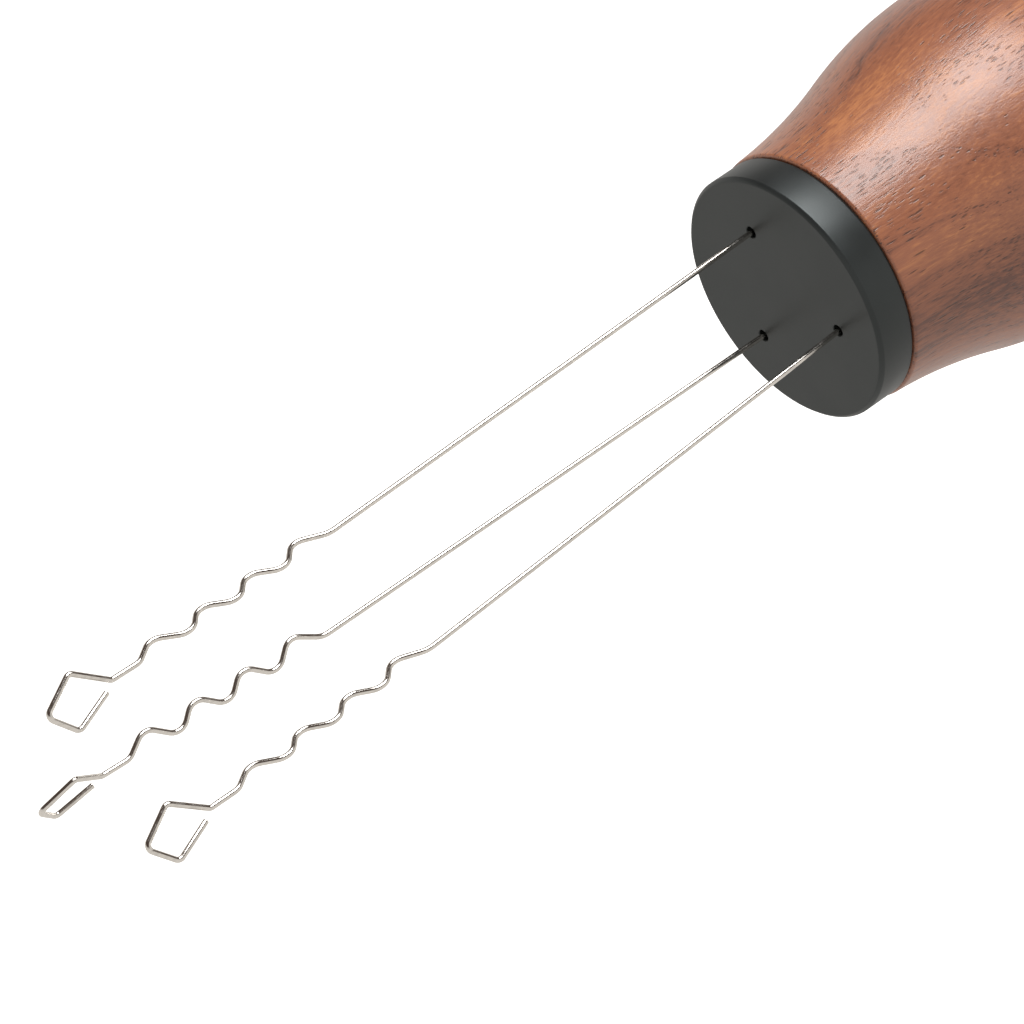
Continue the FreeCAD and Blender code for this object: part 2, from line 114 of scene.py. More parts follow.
class HeadSettings(PropertyGroup):
    """Black anodised head."""
    face_chamfer: FloatProperty(
        name="Face chamfer", description="Edge between face and band",
        default=0.35 * MM, subtype="DISTANCE", unit="LENGTH")
    rear_chamfer: FloatProperty(
        name="Rear chamfer", description="Edge between band and wood",
        default=0.3 * MM, subtype="DISTANCE", unit="LENGTH")
    spigot_radius: FloatProperty(
        name="Spigot radius", description="Round step that sits in the wood",
        default=11.0 * MM, subtype="DISTANCE", unit="LENGTH")
    recess_radius: FloatProperty(
        name="Recess radius", description="Hollow inside the spigot",
        default=10.0 * MM, subtype="DISTANCE", unit="LENGTH")
    boss_radius: FloatProperty(
        name="Boss radius", description="Threaded boss in the recess",
        default=5.0 * MM, subtype="DISTANCE", unit="LENGTH")
    thread_radius: FloatProperty(
        name="Thread radius", description="Hole for the stud",
        default=3.05 * MM, subtype="DISTANCE", unit="LENGTH")
    thread_depth: FloatProperty(
        name="Thread depth", description="Depth of the hole for the stud",
        default=7.05 * MM, subtype="DISTANCE", unit="LENGTH")
    hole_radius: FloatProperty(
        name="Needle hole", description="Radius of each needle hole",
        default=0.65 * MM, subtype="DISTANCE", unit="LENGTH")
    hole_edge: FloatProperty(
        name="Hole edge", description="Tiny countersink of each needle hole",
        default=0.08 * MM, subtype="DISTANCE", unit="LENGTH")
    corner_softness: FloatProperty(
        name="Corner softness", description="Rounding where a chamfer meets its neighbour",
        default=0.06 * MM, subtype="DISTANCE", unit="LENGTH")
    face_wall: FloatProperty(
        name="Face wall", description="Metal between face and collar pockets",
        default=2.0 * MM, subtype="DISTANCE", unit="LENGTH")
    pocket_radius: FloatProperty(
        name="Pocket radius", description="Pocket for each needle's collar",
        default=1.6 * MM, subtype="DISTANCE", unit="LENGTH")
    sides: IntProperty(name="Sides", description="Faces round the head", default=192, min=12)
    drill_sides: IntProperty(
        name="Drill sides", description="Faces round each needle hole", default=48, min=12)
    black: FloatVectorProperty(
        name="Black", description="Black anodised metal",
        default=(0.011, 0.0125, 0.0127), subtype="COLOR", min=0.0, max=1.0)
    sheen: FloatVectorProperty(
        name="Sheen", description="Slightly cool shine of the anodised metal",
        default=(0.92, 1.0, 1.0), subtype="COLOR", min=0.0, max=1.0)


class NeedleSettings(PropertyGroup):
    """Bent wire needles."""
    wire_radius: FloatProperty(
        name="Wire radius", description="Radius of the wire",
        default=0.30 * MM, subtype="DISTANCE", unit="LENGTH")
    tail: FloatProperty(
        name="Tail", description="Wire below the point that the needle turns about",
        default=3.75 * MM, subtype="DISTANCE", unit="LENGTH")
    shank: FloatProperty(
        name="Shank", description="Straight wire above that point",
        default=59.35 * MM, subtype="DISTANCE", unit="LENGTH")
    crests: IntProperty(name="Crests", description="Crests in the zigzag", default=4, min=1)
    crest_pitch: FloatProperty(
        name="Crest pitch", description="Length of one zigzag",
        default=5.94 * MM, subtype="DISTANCE", unit="LENGTH")
    crest_height: FloatProperty(
        name="Crest height", description="Crests above the shank's line",
        default=1.85 * MM, subtype="DISTANCE", unit="LENGTH")
    crest_skew: FloatProperty(
        name="Crest skew", description="How far a crest sits past its middle",
        default=0.3 * MM, subtype="DISTANCE", unit="LENGTH")
    valley_depth: FloatProperty(
        name="Valley depth", description="Valleys below the shank's line",
        default=0.8 * MM, subtype="DISTANCE", unit="LENGTH")
    start_bend: FloatProperty(
        name="Start bend", description="Bend radius where the shank meets the zigzag",
        default=2.5 * MM, subtype="DISTANCE", unit="LENGTH")
    crest_bend: FloatProperty(
        name="Crest bend", description="Bend radius in the zigzag",
        default=1.6 * MM, subtype="DISTANCE", unit="LENGTH")
    hook_bend: FloatProperty(
        name="Hook bend", description="Bend radius in the hook",
        default=0.65 * MM, subtype="DISTANCE", unit="LENGTH")
    hook_twist: FloatProperty(
        name="Hook twist", description="Turn of the hook's plane from the zigzag's",
        default=math.radians(-55.0), subtype="ANGLE", unit="ROTATION")
    end_round: FloatProperty(
        name="End rounding", description="Rounding of the cut ends, as a share of the radius",
        default=0.35, subtype="FACTOR", min=0.0, max=1.0)
    longest_step: FloatProperty(
        name="Longest step", description="Longest face along a straight run",
        default=4.0 * MM, subtype="DISTANCE", unit="LENGTH")
    sides: IntProperty(name="Sides", description="Faces round the wire", default=24, min=6)
    steel: FloatVectorProperty(
        name="Steel", description="Bright drawn wire",
        default=(0.78, 0.745, 0.70), subtype="COLOR", min=0.0, max=1.0)


class StageSettings(PropertyGroup):
    """Floor, light and camera."""
    camera_azimuth: FloatProperty(
        name="Azimuth", description="Camera's direction round the tool",
        default=math.radians(16.5), subtype="ANGLE", unit="ROTATION")
    camera_elevation: FloatProperty(
        name="Elevation", description="Camera's angle above the tool's foot",
        default=math.radians(26.2), subtype="ANGLE", unit="ROTATION")
    camera_roll: FloatProperty(
        name="Roll", description="Camera's turn about its own line of sight",
        default=math.radians(-124.55), subtype="ANGLE", unit="ROTATION")
    camera_distance: FloatProperty(
        name="Distance", description="Camera's distance from its target",
        default=0.5074, subtype="DISTANCE", unit="LENGTH")
    camera_target: FloatVectorProperty(
        name="Target", description="Point in the middle of the view",
        default=(-6.38 * MM, 14.19 * MM, 91.94 * MM), subtype="XYZ", unit="LENGTH")
    lens: FloatProperty(name="Lens", description="Focal length in millimetres", default=175.8)
    floor_size: FloatProperty(
        name="Floor", description="Side of the floor",
        default=8.0, subtype="DISTANCE", unit="LENGTH")
    key_azimuth: FloatProperty(
        name="Key azimuth", description="Softbox's direction round the tool",
        default=math.radians(62.0), subtype="ANGLE", unit="ROTATION")
    key_elevation: FloatProperty(
        name="Key elevation", description="Softbox's angle above the tool's neck",
        default=math.radians(-12.0), subtype="ANGLE", unit="ROTATION")
    key_size: FloatProperty(
        name="Key size", description="Side of the softbox",
        default=0.29, subtype="DISTANCE", unit="LENGTH")
    key_distance: FloatProperty(
        name="Key distance", description="Softbox's distance from the tool's neck",
        default=0.45, subtype="DISTANCE", unit="LENGTH")
    key_power: FloatProperty(
        name="Key light", description="Power of the softbox", default=2.7, unit="POWER")
    dark_azimuth: FloatProperty(
        name="Dark azimuth", description="Direction of the dim part of the room",
        default=math.radians(72.0), subtype="ANGLE", unit="ROTATION")
    dark_elevation: FloatProperty(
        name="Dark elevation", description="Angle of the dim part of the room above the neck",
        default=math.radians(-3.0), subtype="ANGLE", unit="ROTATION")
    dark_start: FloatProperty(
        name="Dark start", description="Cosine of the angle at which the room starts to dim",
        default=0.34, min=-1.0, max=1.0)
    dark_full: FloatProperty(
        name="Dark full", description="Cosine of the angle within which the room is fully dim",
        default=0.46, min=-1.0, max=1.0)
    bright_side: FloatVectorProperty(
        name="Bright side", description="Light from the walls away from the softbox",
        default=(0.76, 0.735, 0.70), subtype="COLOR", min=0.0, max=2.0)
    dark_side: FloatVectorProperty(
        name="Dark side", description="Light from the dim room round the softbox",
        default=(0.075, 0.055, 0.045), subtype="COLOR", min=0.0, max=2.0)


# The open hook at the tip of each needle: corners along and across the needle, in millimetres,
# from the end of the zigzag to the free end.
HOOK_CORNERS = [(3.4, 0.1), (6.8, 2.9), (10.95, 0.6), (8.75, -2.2), (4.4, -0.6)]

# Each needle was bent by hand: degrees outwards and sideways for the shank and for the zigzag,
# and the turn of the zigzag's plane about the needle.
NEEDLE_LEANS = [
    {"shank": (-0.7, -2.1), "tip": (0.3, -1.8), "turn": 61.6},
    {"shank": (3.4, -1.0), "tip": (0.5, -2.2), "turn": 3.8},
    {"shank": (3.3, -0.3), "tip": (0.3, -1.5), "turn": 65.0},
]


# ================================================================ mesh helpers

def new_piece(name, mesh_data, material):
    """Links a mesh object at the origin with one material."""
    piece = bpy.data.objects.new(name, mesh_data)
    bpy.context.scene.collection.objects.link(piece)
    mesh_data.materials.append(material)
    return piece


def arc_points(centre, radius, start, end, steps):
    """Points along an arc in the profile plane, both ends included."""
    points = []
    for step in range(steps + 1):
        angle = start + (end - start) * step / steps
        points.append(Vector((centre.x + radius * math.cos(angle),
                              centre.y + radius * math.sin(angle))))
    return points


def lathe(name, profile, steps):
    """Spins a profile of (radius, height) points round the tool's axis into a closed mesh."""
    work = bmesh.new()
    rings = []
    for point in profile:
        if point.x == 0:
            rings.append([work.verts.new((0, 0, point.y))])
            continue
        ring = []
        for step in range(steps):
            angle = 2 * math.pi * step / steps
            ring.append(work.verts.new((point.x * math.cos(angle), point.x * math.sin(angle),
                                        point.y)))
        rings.append(ring)
    for lower, upper in zip(rings, rings[1:]):
        for step in range(steps):
            following = (step + 1) % steps
            corners = [lower[step % len(lower)], lower[following % len(lower)],
                       upper[following % len(upper)], upper[step % len(upper)]]
            distinct = list(dict.fromkeys(corners))
            if len(distinct) > 2:
                work.faces.new(distinct)
    bmesh.ops.recalc_face_normals(work, faces=work.faces)
    return finish_mesh(name, work)


def finish_mesh(name, work):
    """Turns a bmesh into a smooth-shaded mesh with its real edges kept sharp."""
    for face in work.faces:
        face.smooth = True
    mesh_data = bpy.data.meshes.new(name)
    work.to_mesh(mesh_data)
    work.free()
    mesh_data.set_sharp_from_angle(angle=SHARP_ANGLE)
    return mesh_data


def carve(piece, cutters):
    """Cuts closed meshes out of a piece and applies the cuts."""
    for cutter in cutters:
        cut = piece.modifiers.new(cutter.name, "BOOLEAN")
        cut.operation = "DIFFERENCE"
        cut.solver = "EXACT"
        cut.object = cutter
    depsgraph = bpy.context.evaluated_depsgraph_get()
    carved = bpy.data.meshes.new_from_object(piece.evaluated_get(depsgraph))
    piece.modifiers.clear()
    piece.data = carved
    for cutter in cutters:
        bpy.data.objects.remove(cutter)
    carved.set_sharp_from_angle(angle=SHARP_ANGLE)


def sweep_tube(name, path, radius, sides, end_round):
    """A round wire along a path, with softly rounded ends."""
    work = bmesh.new()
    tangents = []
    for index in range(len(path)):
        before = path[max(index - 1, 0)]
        after = path[min(index + 1, len(path) - 1)]
        tangents.append((after - before).normalized())
    across = tangents[0].orthogonal().normalized()
    stations = []
    for index, (point, tangent) in enumerate(zip(path, tangents)):
        if index:
            across = (tangents[index - 1].rotation_difference(tangent) @ across).normalized()
        stations.append((point, tangent, across, radius))
    first, last = stations[0], stations[-1]
    inset = radius - end_round
    stations[0] = (first[0] + first[1] * end_round, *first[1:])
    stations[-1] = (last[0] - last[1] * end_round, *last[1:])
    for share in (0.35, 0.75, 1.0):
        drop = end_round * math.sin(share * math.pi / 2)
        size = inset + end_round * math.cos(share * math.pi / 2)
        stations.insert(0, (first[0] + first[1] * (end_round - drop), first[1], first[2], size))
        stations.append((last[0] - last[1] * (end_round - drop), last[1], last[2], size))
    rings = []
    for point, tangent, side, size in stations:
        other = tangent.cross(side)
        ring = []
        for step in range(sides):
            angle = 2 * math.pi * step / sides
            ring.append(work.verts.new(
                point + side * (size * math.cos(angle)) + other * (size * math.sin(angle))))
        rings.append(ring)
    for lower, upper in zip(rings, rings[1:]):
        for step in range(sides):
            following = (step + 1) % sides
            work.faces.new((lower[step], lower[following], upper[following], upper[step]))
    work.faces.new(list(reversed(rings[0])))
    work.faces.new(rings[-1])
    bmesh.ops.recalc_face_normals(work, faces=work.faces)
    return finish_mesh(name, work)


# ================================================================ material helpers

class Recipe:
    """Builds one node material with short calls."""

    def __init__(self, name):
        self.material = bpy.data.materials.new(name)
        self.material.use_nodes = True
        self.tree = self.material.node_tree
        self.surface = self.tree.nodes["Principled BSDF"]
        self.column = 0

    def add(self, kind, inputs=None, **settings):
        """Adds a node; inputs are values or sockets to link."""
        made = self.tree.nodes.new("ShaderNode" + kind)
        self.column += 1
        made.location = (-240 * (self.column % 8) - 300, -220 * (self.column // 8))
        for key, value in settings.items():
            setattr(made, key, value)
        for key, value in (inputs or {}).items():
            self.feed(made.inputs[key], value)
        return made

    def feed(self, socket, value):
        """Links a socket or sets a value."""
        if isinstance(value, bpy.types.NodeSocket):
            self.tree.links.new(value, socket)
        else:
            socket.default_value = value

    def maths(self, operation, first, second=0.0):
        """One sum of two values."""
        return self.add("Math", {0: first, 1: second}, operation=operation).outputs[0]

    def spread(self, value, low, high, low_out=0.0, high_out=1.0):
        """Maps a range of values to another with soft ends."""
        made = self.add("MapRange", {0: value, 1: low, 2: high, 3: low_out, 4: high_out},
                        interpolation_type="SMOOTHSTEP")
        return made.outputs[0]

    def blend(self, share, first, second):
        """Mixes two colours."""
        made = self.add("Mix", data_type="RGBA")
        self.feed(made.inputs[0], share)
        self.feed(made.inputs[6], first)
        self.feed(made.inputs[7], second)
        return made.outputs[2]

    def place(self, scale=(1, 1, 1), shift=(0, 0, 0), source=None):
        """Object coordinates, scaled and shifted."""
        if source is None:
            source = self.add("TexCoord").outputs["Object"]
        made = self.add("Mapping", {"Vector": source, "Scale": scale, "Location": shift})
        return made.outputs[0]

    def noise(self, vector, detail=2.0, roughness=0.5):
        """Soft random pattern; the vector sets its size."""
        return self.add("TexNoise", {"Vector": vector, "Scale": 1.0, "Detail": detail,
                                     "Roughness": roughness})

    def finish(self, **inputs):
        """Feeds the surface and hands over the material."""
        for key, value in inputs.items():
            self.feed(self.surface.inputs[key.replace("_", " ")], value)
        return self.material


def opaque(colour):
    """Adds the alpha channel to a colour."""
    return (colour[0], colour[1], colour[2], 1.0)


# ================================================================ materials

LAYER_SPACING = 3.1 * MM              # between two growth layers of the tree
HEART_SHIFT = (0.044, -0.040, 0.0)    # from the tree's heart to the grip's axis
LAYER_TILT = math.radians(4.0)        # how far askew the blank was cut

# Open pores of the wood, from fine to coarse: room across and along the fibre that holds at
# most one pore, and the part of that room that the pore fills.
PORE_KINDS = [
    (0.24 * MM, 1.9 * MM, 0.40),
    (0.36 * MM, 3.2 * MM, 0.34),
    (0.70 * MM, 6.5 * MM, 0.20),
]


def walnut_material(grip):
    """Varnished walnut: layers of colour along the axis, fine open pores, satin coat."""
    wood = Recipe("walnut")
    straight = wood.add("TexCoord").outputs["Object"]
    wander = wood.noise(wood.place((55, 55, 20), source=straight), detail=1.0)
    drift = wood.add("VectorMath", {0: wander.outputs["Color"], 1: (0.5, 0.5, 0.5)},
                     operation="SUBTRACT").outputs[0]
    drift = wood.add("VectorMath", {0: drift, 1: (0.004, 0.004, 0.0)},
                     operation="MULTIPLY").outputs[0]
    fibre = wood.add("VectorMath", {0: straight, 1: drift}, operation="ADD").outputs[0]

    # Growth layers: the blank is cut away from the tree's heart and a little askew,
    # so the turned shape cuts the layers in long curves.
    tilted = wood.add("VectorRotate", {"Vector": fibre, "Angle": LAYER_TILT,
                                       "Axis": (0.5, 0.85, 0.0)}).outputs[0]
    heart = wood.place((1, 1, 0), HEART_SHIFT, source=tilted)
    from_heart = wood.add("VectorMath", {0: heart}, operation="LENGTH").outputs["Value"]
    phase = wood.maths("FRACT", wood.maths("MULTIPLY", from_heart, 1 / LAYER_SPACING))
    layer_edge = wood.maths("MULTIPLY", wood.spread(phase, 0.70, 0.94),
                            wood.spread(phase, 0.94, 1.0, 1.0, 0.0))

    # Tone from patches as wide as the grip down to single fibres, darker at layer edges.
    broad = wood.noise(wood.place((38, 38, 15), (0.4, 0.1, 0.3), source=fibre), detail=2.0)
    band = wood.noise(wood.place((260, 260, 11), (0.9, 0.2, 0.6), source=fibre), detail=2.0)
    streaks = wood.noise(wood.place((2600, 2600, 130), source=fibre), detail=3.0, roughness=0.62)
    flecks = wood.noise(wood.place((5200, 5200, 620), source=fibre), detail=2.0)
    tone = wood.maths("MULTIPLY", broad.outputs["Fac"], 0.80)
    tone = wood.maths("ADD", tone, wood.maths("MULTIPLY", band.outputs["Fac"], 0.50))
    tone = wood.maths("ADD", tone, wood.maths("MULTIPLY", streaks.outputs["Fac"], 0.62))
    tone = wood.maths("ADD", tone, wood.maths("MULTIPLY", flecks.outputs["Fac"], 0.40))
    tone = wood.maths("SUBTRACT", tone, wood.maths("MULTIPLY", layer_edge, 0.08))
    dark_to_middle = wood.spread(tone, 0.80, 1.16)
    middle_to_light = wood.spread(tone, 1.12, 1.45)
    colour = wood.blend(dark_to_middle, opaque(grip.dark_wood), opaque(grip.middle_wood))
    colour = wood.blend(middle_to_light, colour, opaque(grip.light_wood))

    # Pores: short dark dashes along the fibre, crowded in patches and along layer edges.
    patch = wood.noise(wood.place((105, 105, 40), (0.2, 0.7, 0.1), source=fibre), detail=1.0)
    crowding = wood.maths("MAXIMUM", wood.spread(patch.outputs["Fac"], 0.44, 0.60, 0.03, 0.85),
                          wood.maths("MULTIPLY", layer_edge, 1.0))
    pores = []
    for across, along, size in PORE_KINDS:
        cells = wood.add("TexVoronoi", {
            "Vector": wood.place((1 / across, 1 / across, 1 / along), source=fibre),
            "Scale": 1.0, "Randomness": 1.0})
        chance = wood.add("SeparateColor", {"Color": cells.outputs["Color"]}).outputs[0]
        open_pore = wood.maths("LESS_THAN", chance, wood.maths("MULTIPLY", crowding, 0.80))
        mark = wood.spread(cells.outputs["Distance"], size * 0.4, size, 1.0, 0.0)
        pores.append(wood.maths("MULTIPLY", mark, open_pore))
    pore = wood.maths("MAXIMUM", wood.maths("MULTIPLY", pores[0], 0.7), pores[1])
    pore = wood.maths("MAXIMUM", pore, pores[2])
    colour = wood.blend(wood.maths("MULTIPLY", pore, 0.72), colour, opaque(grip.pore_colour))

    # Pores are sunk and the fibres stand up a little; the varnish softens both.
    roughness = wood.spread(streaks.outputs["Fac"], 0.3, 0.7, 0.38, 0.48)
    sunk = wood.maths("ADD", wood.maths("MULTIPLY", pore, -1.0),
                      wood.maths("MULTIPLY", streaks.outputs["Fac"], 1.3))
    sunk = wood.maths("ADD", sunk, wood.maths("MULTIPLY", flecks.outputs["Fac"], 0.8))
    bump = wood.add("Bump", {"Height": sunk, "Strength": 0.60, "Distance": 0.04 * MM})
    soft_bump = wood.add("Bump", {"Height": sunk, "Strength": 0.50, "Distance": 0.04 * MM})
    return wood.finish(Base_Color=colour, Roughness=roughness, Normal=bump.outputs[0],
                       Coat_Weight=0.62, Coat_Roughness=0.26, Coat_IOR=1.5,
                       Coat_Normal=soft_bump.outputs[0], Specular_IOR_Level=0.35)


def black_anodised_material(head):
    """Satin black anodised aluminium with a fine blasted grain."""
    metal = Recipe("black_anodised")
    grain = metal.noise(metal.place((9000, 9000, 9000)), detail=2.0)
    cloud = metal.noise(metal.place((160, 160, 160)), detail=2.0)
    lighter = tuple(channel * 1.35 for channel in head.black)
    colour = metal.blend(metal.spread(cloud.outputs["Fac"], 0.3, 0.7), opaque(head.black),
                         opaque(lighter))
    roughness = metal.spread(cloud.outputs["Fac"], 0.3, 0.7, 0.37, 0.43)
    bump = metal.add("Bump", {"Height": grain.outputs["Fac"], "Strength": 0.25,
                              "Distance": 0.01 * MM})
    return metal.finish(Base_Color=colour, Roughness=roughness, Normal=bump.outputs[0],
                        Specular_Tint=opaque(head.sheen))


def wire_material(needle):
    """Bright drawn steel wire with faint draw lines and spots."""
    steel = Recipe("spring_steel")
    spots = steel.noise(steel.place((2600, 2600, 700)), detail=3.0)
    darker = tuple(channel * 0.86 for channel in needle.steel)
    colour = steel.blend(steel.spread(spots.outputs["Fac"], 0.42, 0.70), opaque(needle.steel),
                         opaque(darker))
    roughness = steel.spread(spots.outputs["Fac"], 0.35, 0.70, 0.13, 0.24)
    bump = steel.add("Bump", {"Height": spots.outputs["Fac"], "Strength": 0.08,
                              "Distance": 0.01 * MM})
    return steel.finish(Base_Color=colour, Metallic=1.0, Roughness=roughness,
                        Normal=bump.outputs[0])


def turned_metal_material(name, colour, roughness_low, roughness_high, turn_mark):
    """Machined metal with fine rings left by the cutting tool."""
    metal = Recipe(name)
    marks = metal.add("TexWave", {"Vector": metal.place(), "Scale": 1 / turn_mark,
                                  "Distortion": 0.6, "Detail": 1.0},
                      wave_type="BANDS", bands_direction="Z")
    cloud = metal.noise(metal.place((300, 300, 300)), detail=3.0)
    darker = tuple(channel * 0.8 for channel in colour)
    mixed = metal.blend(cloud.outputs["Fac"], opaque(darker), opaque(colour))
    roughness = metal.spread(cloud.outputs["Fac"], 0.3, 0.7, roughness_low, roughness_high)
    bump = metal.add("Bump", {"Height": marks.outputs["Fac"], "Strength": 0.15,
                              "Distance": 0.01 * MM})
    return metal.finish(Base_Color=mixed, Metallic=1.0, Roughness=roughness,
                        Normal=bump.outputs[0])


def floor_material():
    """Plain white floor."""
    floor = Recipe("white_floor")
    speck = floor.noise(floor.place((40, 40, 40)), detail=2.0)
    colour = floor.blend(speck.outputs["Fac"], (0.93, 0.93, 0.93, 1.0), (0.95, 0.95, 0.95, 1.0))
    return floor.finish(Base_Color=colour, Roughness=0.9, Emission_Color=(1.0, 1.0, 1.0, 1.0),
                        Emission_Strength=0.9)


# ================================================================ grip

def grip_profile(grip):
    """Half outline of the grip: flat end, rounding, swell, hollow throat, mouth and bores."""
    bulb = HANDLE_HIGH.x
    top = HANDLE_HIGH.z
    swell_centre = Vector((bulb - grip.swell_curve, grip.bulb_height))
    mouth = Vector((grip.neck_radius, top))
    reach = mouth - swell_centre
    gap = grip.swell_curve + grip.throat_curve
    turn = math.acos((gap ** 2 + reach.length ** 2 - grip.throat_curve ** 2)
                     / (2 * gap * reach.length))
    heading = math.atan2(reach.y, reach.x) - turn
    throat_centre = swell_centre + Vector((math.cos(heading), math.sin(heading))) * gap

    base_side = math.sqrt((grip.swell_curve - grip.base_edge) ** 2
                          - (grip.bulb_height - grip.base_edge) ** 2)
    base_centre = Vector((swell_centre.x + base_side, grip.base_edge))
    base_meet = math.atan2(base_centre.y - swell_centre.y, base_side)
    lip_height = top - grip.mouth_edge
    lip_side = math.sqrt((grip.throat_curve + grip.mouth_edge) ** 2
                         - (throat_centre.y - lip_height) ** 2)
    lip_centre = Vector((throat_centre.x - lip_side, lip_height))
    lip_meet = math.atan2(throat_centre.y - lip_height, lip_side)

    seat_radius = bpy.context.scene.head_settings.spigot_radius + grip.seat_gap
    seat_floor = INSERT_HIGH.z
    bore_radius = INSERT_HIGH.x
    bore_floor = INSERT_LOW.z - grip.bore_spare

    profile = [Vector((0, 0)), Vector((base_centre.x * 0.5, 0)), Vector((base_centre.x * 0.9, 0))]
    profile += arc_points(base_centre, grip.base_edge, -math.pi / 2, base_meet, 14)
    profile += arc_points(swell_centre, grip.swell_curve, base_meet, heading, 56)[1:]
    profile += arc_points(throat_centre, grip.throat_curve, heading + math.pi,
                          math.pi + lip_meet, 24)[1:]
    profile += arc_points(lip_centre, grip.mouth_edge, lip_meet, math.pi / 2, 6)[1:]
    profile += [
        Vector((seat_radius, top)),
        Vector((seat_radius, seat_floor)),
        Vector((bore_radius, seat_floor)),
        Vector((bore_radius, bore_floor)),
        Vector((0, bore_floor)),
    ]
    return profile


class NEEDLETOOL_OT_grip(Operator):
    """Turn the walnut grip"""
    bl_idname = "needletool.grip"
    bl_label = "Walnut Grip"

    def execute(self, context):
        grip = context.scene.grip_settings
        turned = lathe("walnut_grip", grip_profile(grip), grip.sides)
        piece = new_piece("walnut_grip", turned, walnut_material(grip))
        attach(piece, "grip_and_head")
        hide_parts("handle")
        return {"FINISHED"}


# ================================================================ head

def head_profile(head):
    """Half outline of the head: face, band, spigot, recess and threaded boss."""
    face = FACE_HEIGHT
    shoulder = HANDLE_HIGH.z
    rim = HEAD_HIGH.x
    recess_floor = PLATE_HIGH.z
    spigot_end = HEAD_LOW.z
    soft = head.corner_softness
    front = head.face_chamfer
    rear = head.rear_chamfer
    return [
        Vector((0, face)),
        Vector((rim - front - 4 * soft, face)),
        Vector((rim - front - 2 * soft, face)),
        Vector((rim - front - soft, face - 0.1 * soft)),
        Vector((rim - front + 0.5 * soft, face - soft)),
        Vector((rim - soft, face - front + 0.5 * soft)),
        Vector((rim - 0.1 * soft, face - front - soft)),
        Vector((rim, face - front - 2 * soft)),
        Vector((rim, shoulder + rear + 2 * soft)),
        Vector((rim - 0.1 * soft, shoulder + rear + soft)),
        Vector((rim - soft, shoulder + rear - 0.5 * soft)),
        Vector((rim - rear, shoulder)),
        Vector((head.spigot_radius, shoulder)),
        Vector((head.spigot_radius, spigot_end)),
        Vector((head.recess_radius, spigot_end)),
        Vector((head.recess_radius, recess_floor)),
        Vector((head.boss_radius, recess_floor)),
        Vector((head.boss_radius, spigot_end)),
        Vector((head.thread_radius, spigot_end)),
        Vector((head.thread_radius, spigot_end + head.thread_depth)),
        Vector((0, spigot_end + head.thread_depth)),
    ]


def needle_drill(head, joint):
    """The space cut for one needle: a hole with a tiny countersink, and a pocket behind it."""
    beyond = 1.0 * MM
    edge = head.hole_edge
    pocket_top = FACE_HEIGHT - head.face_wall
    profile = [
        Vector((0, PLATE_HIGH.z - beyond)),
        Vector((head.pocket_radius, PLATE_HIGH.z - beyond)),
        Vector((head.pocket_radius, pocket_top)),
        Vector((head.hole_radius, pocket_top)),
        Vector((head.hole_radius, FACE_HEIGHT - edge)),
        Vector((head.hole_radius + edge, FACE_HEIGHT)),
        Vector((head.hole_radius + edge, FACE_HEIGHT + beyond)),
        Vector((0, FACE_HEIGHT + beyond)),
    ]
    drill = bpy.data.objects.new(joint["name"] + "_drill", lathe("drill", profile, head.drill_sides))
    bpy.context.scene.collection.objects.link(drill)
    drill.location = (joint["pos_m"][0], joint["pos_m"][1], 0)
    return drill


class NEEDLETOOL_OT_head(Operator):
    """Turn and drill the black head"""
    bl_idname = "needletool.head"
    bl_label = "Black Head"

    def execute(self, context):
        head = context.scene.head_settings
        material = black_anodised_material(head)
        turned = lathe("black_head", head_profile(head), head.sides)
        piece = new_piece("black_head", turned, material)
        carve(piece, [needle_drill(head, joint) for joint in NEEDLE_JOINTS])
        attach(piece, "grip_and_head")
        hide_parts("needle_head")
        return {"FINISHED"}


# ================================================================ needles

def lean_direction(around, lean):
    """Unit direction near +Z that leans outwards and sideways, seen from the hole."""
    slope = Vector((math.tan(math.radians(lean[0])), math.tan(math.radians(lean[1])), 1.0))
    return (Quaternion((0, 0, 1), around) @ slope).normalized()


def turned_across(direction, turn):
    """Unit vector across a direction, turned about it from the +X side."""
    sideways = (Vector((1, 0, 0)) - direction * direction.x).normalized()
    return Quaternion(direction, turn) @ sideways


def needle_corners(needle, joint, leans):
    """Corners of the bent wire with their bend radii, from the tail to the hook's free end."""
    pivot = Vector(joint["pos_m"])
    around = math.atan2(pivot.y, pivot.x)
    shank = lean_direction(around, leans["shank"])
    tip = lean_direction(around, leans["tip"])
    turn = math.radians(leans["turn"])
    crest_side = turned_across(tip, turn)
    hook_side = turned_across(tip, turn + needle.hook_twist)
    start = pivot + shank * needle.shank
    corners = [(pivot - shank * needle.tail, 0.0), (start, needle.start_bend)]
    for number in range(needle.crests):
        valley = start + tip * (number * needle.crest_pitch) - crest_side * needle.valley_depth
        if number > 0:
            corners.append((valley, needle.crest_bend))
        crest = (number + 0.5) * needle.crest_pitch + needle.crest_skew
        corners.append((start + tip * crest + crest_side * needle.crest_height,
                        needle.crest_bend))
    zigzag_end = start + tip * (needle.crests * needle.crest_pitch)
    corners.append((zigzag_end, needle.crest_bend))
    for along, sideways in HOOK_CORNERS:
        corners.append((zigzag_end + tip * (along * MM) + hook_side * (sideways * MM),
                        needle.hook_bend))
    return corners


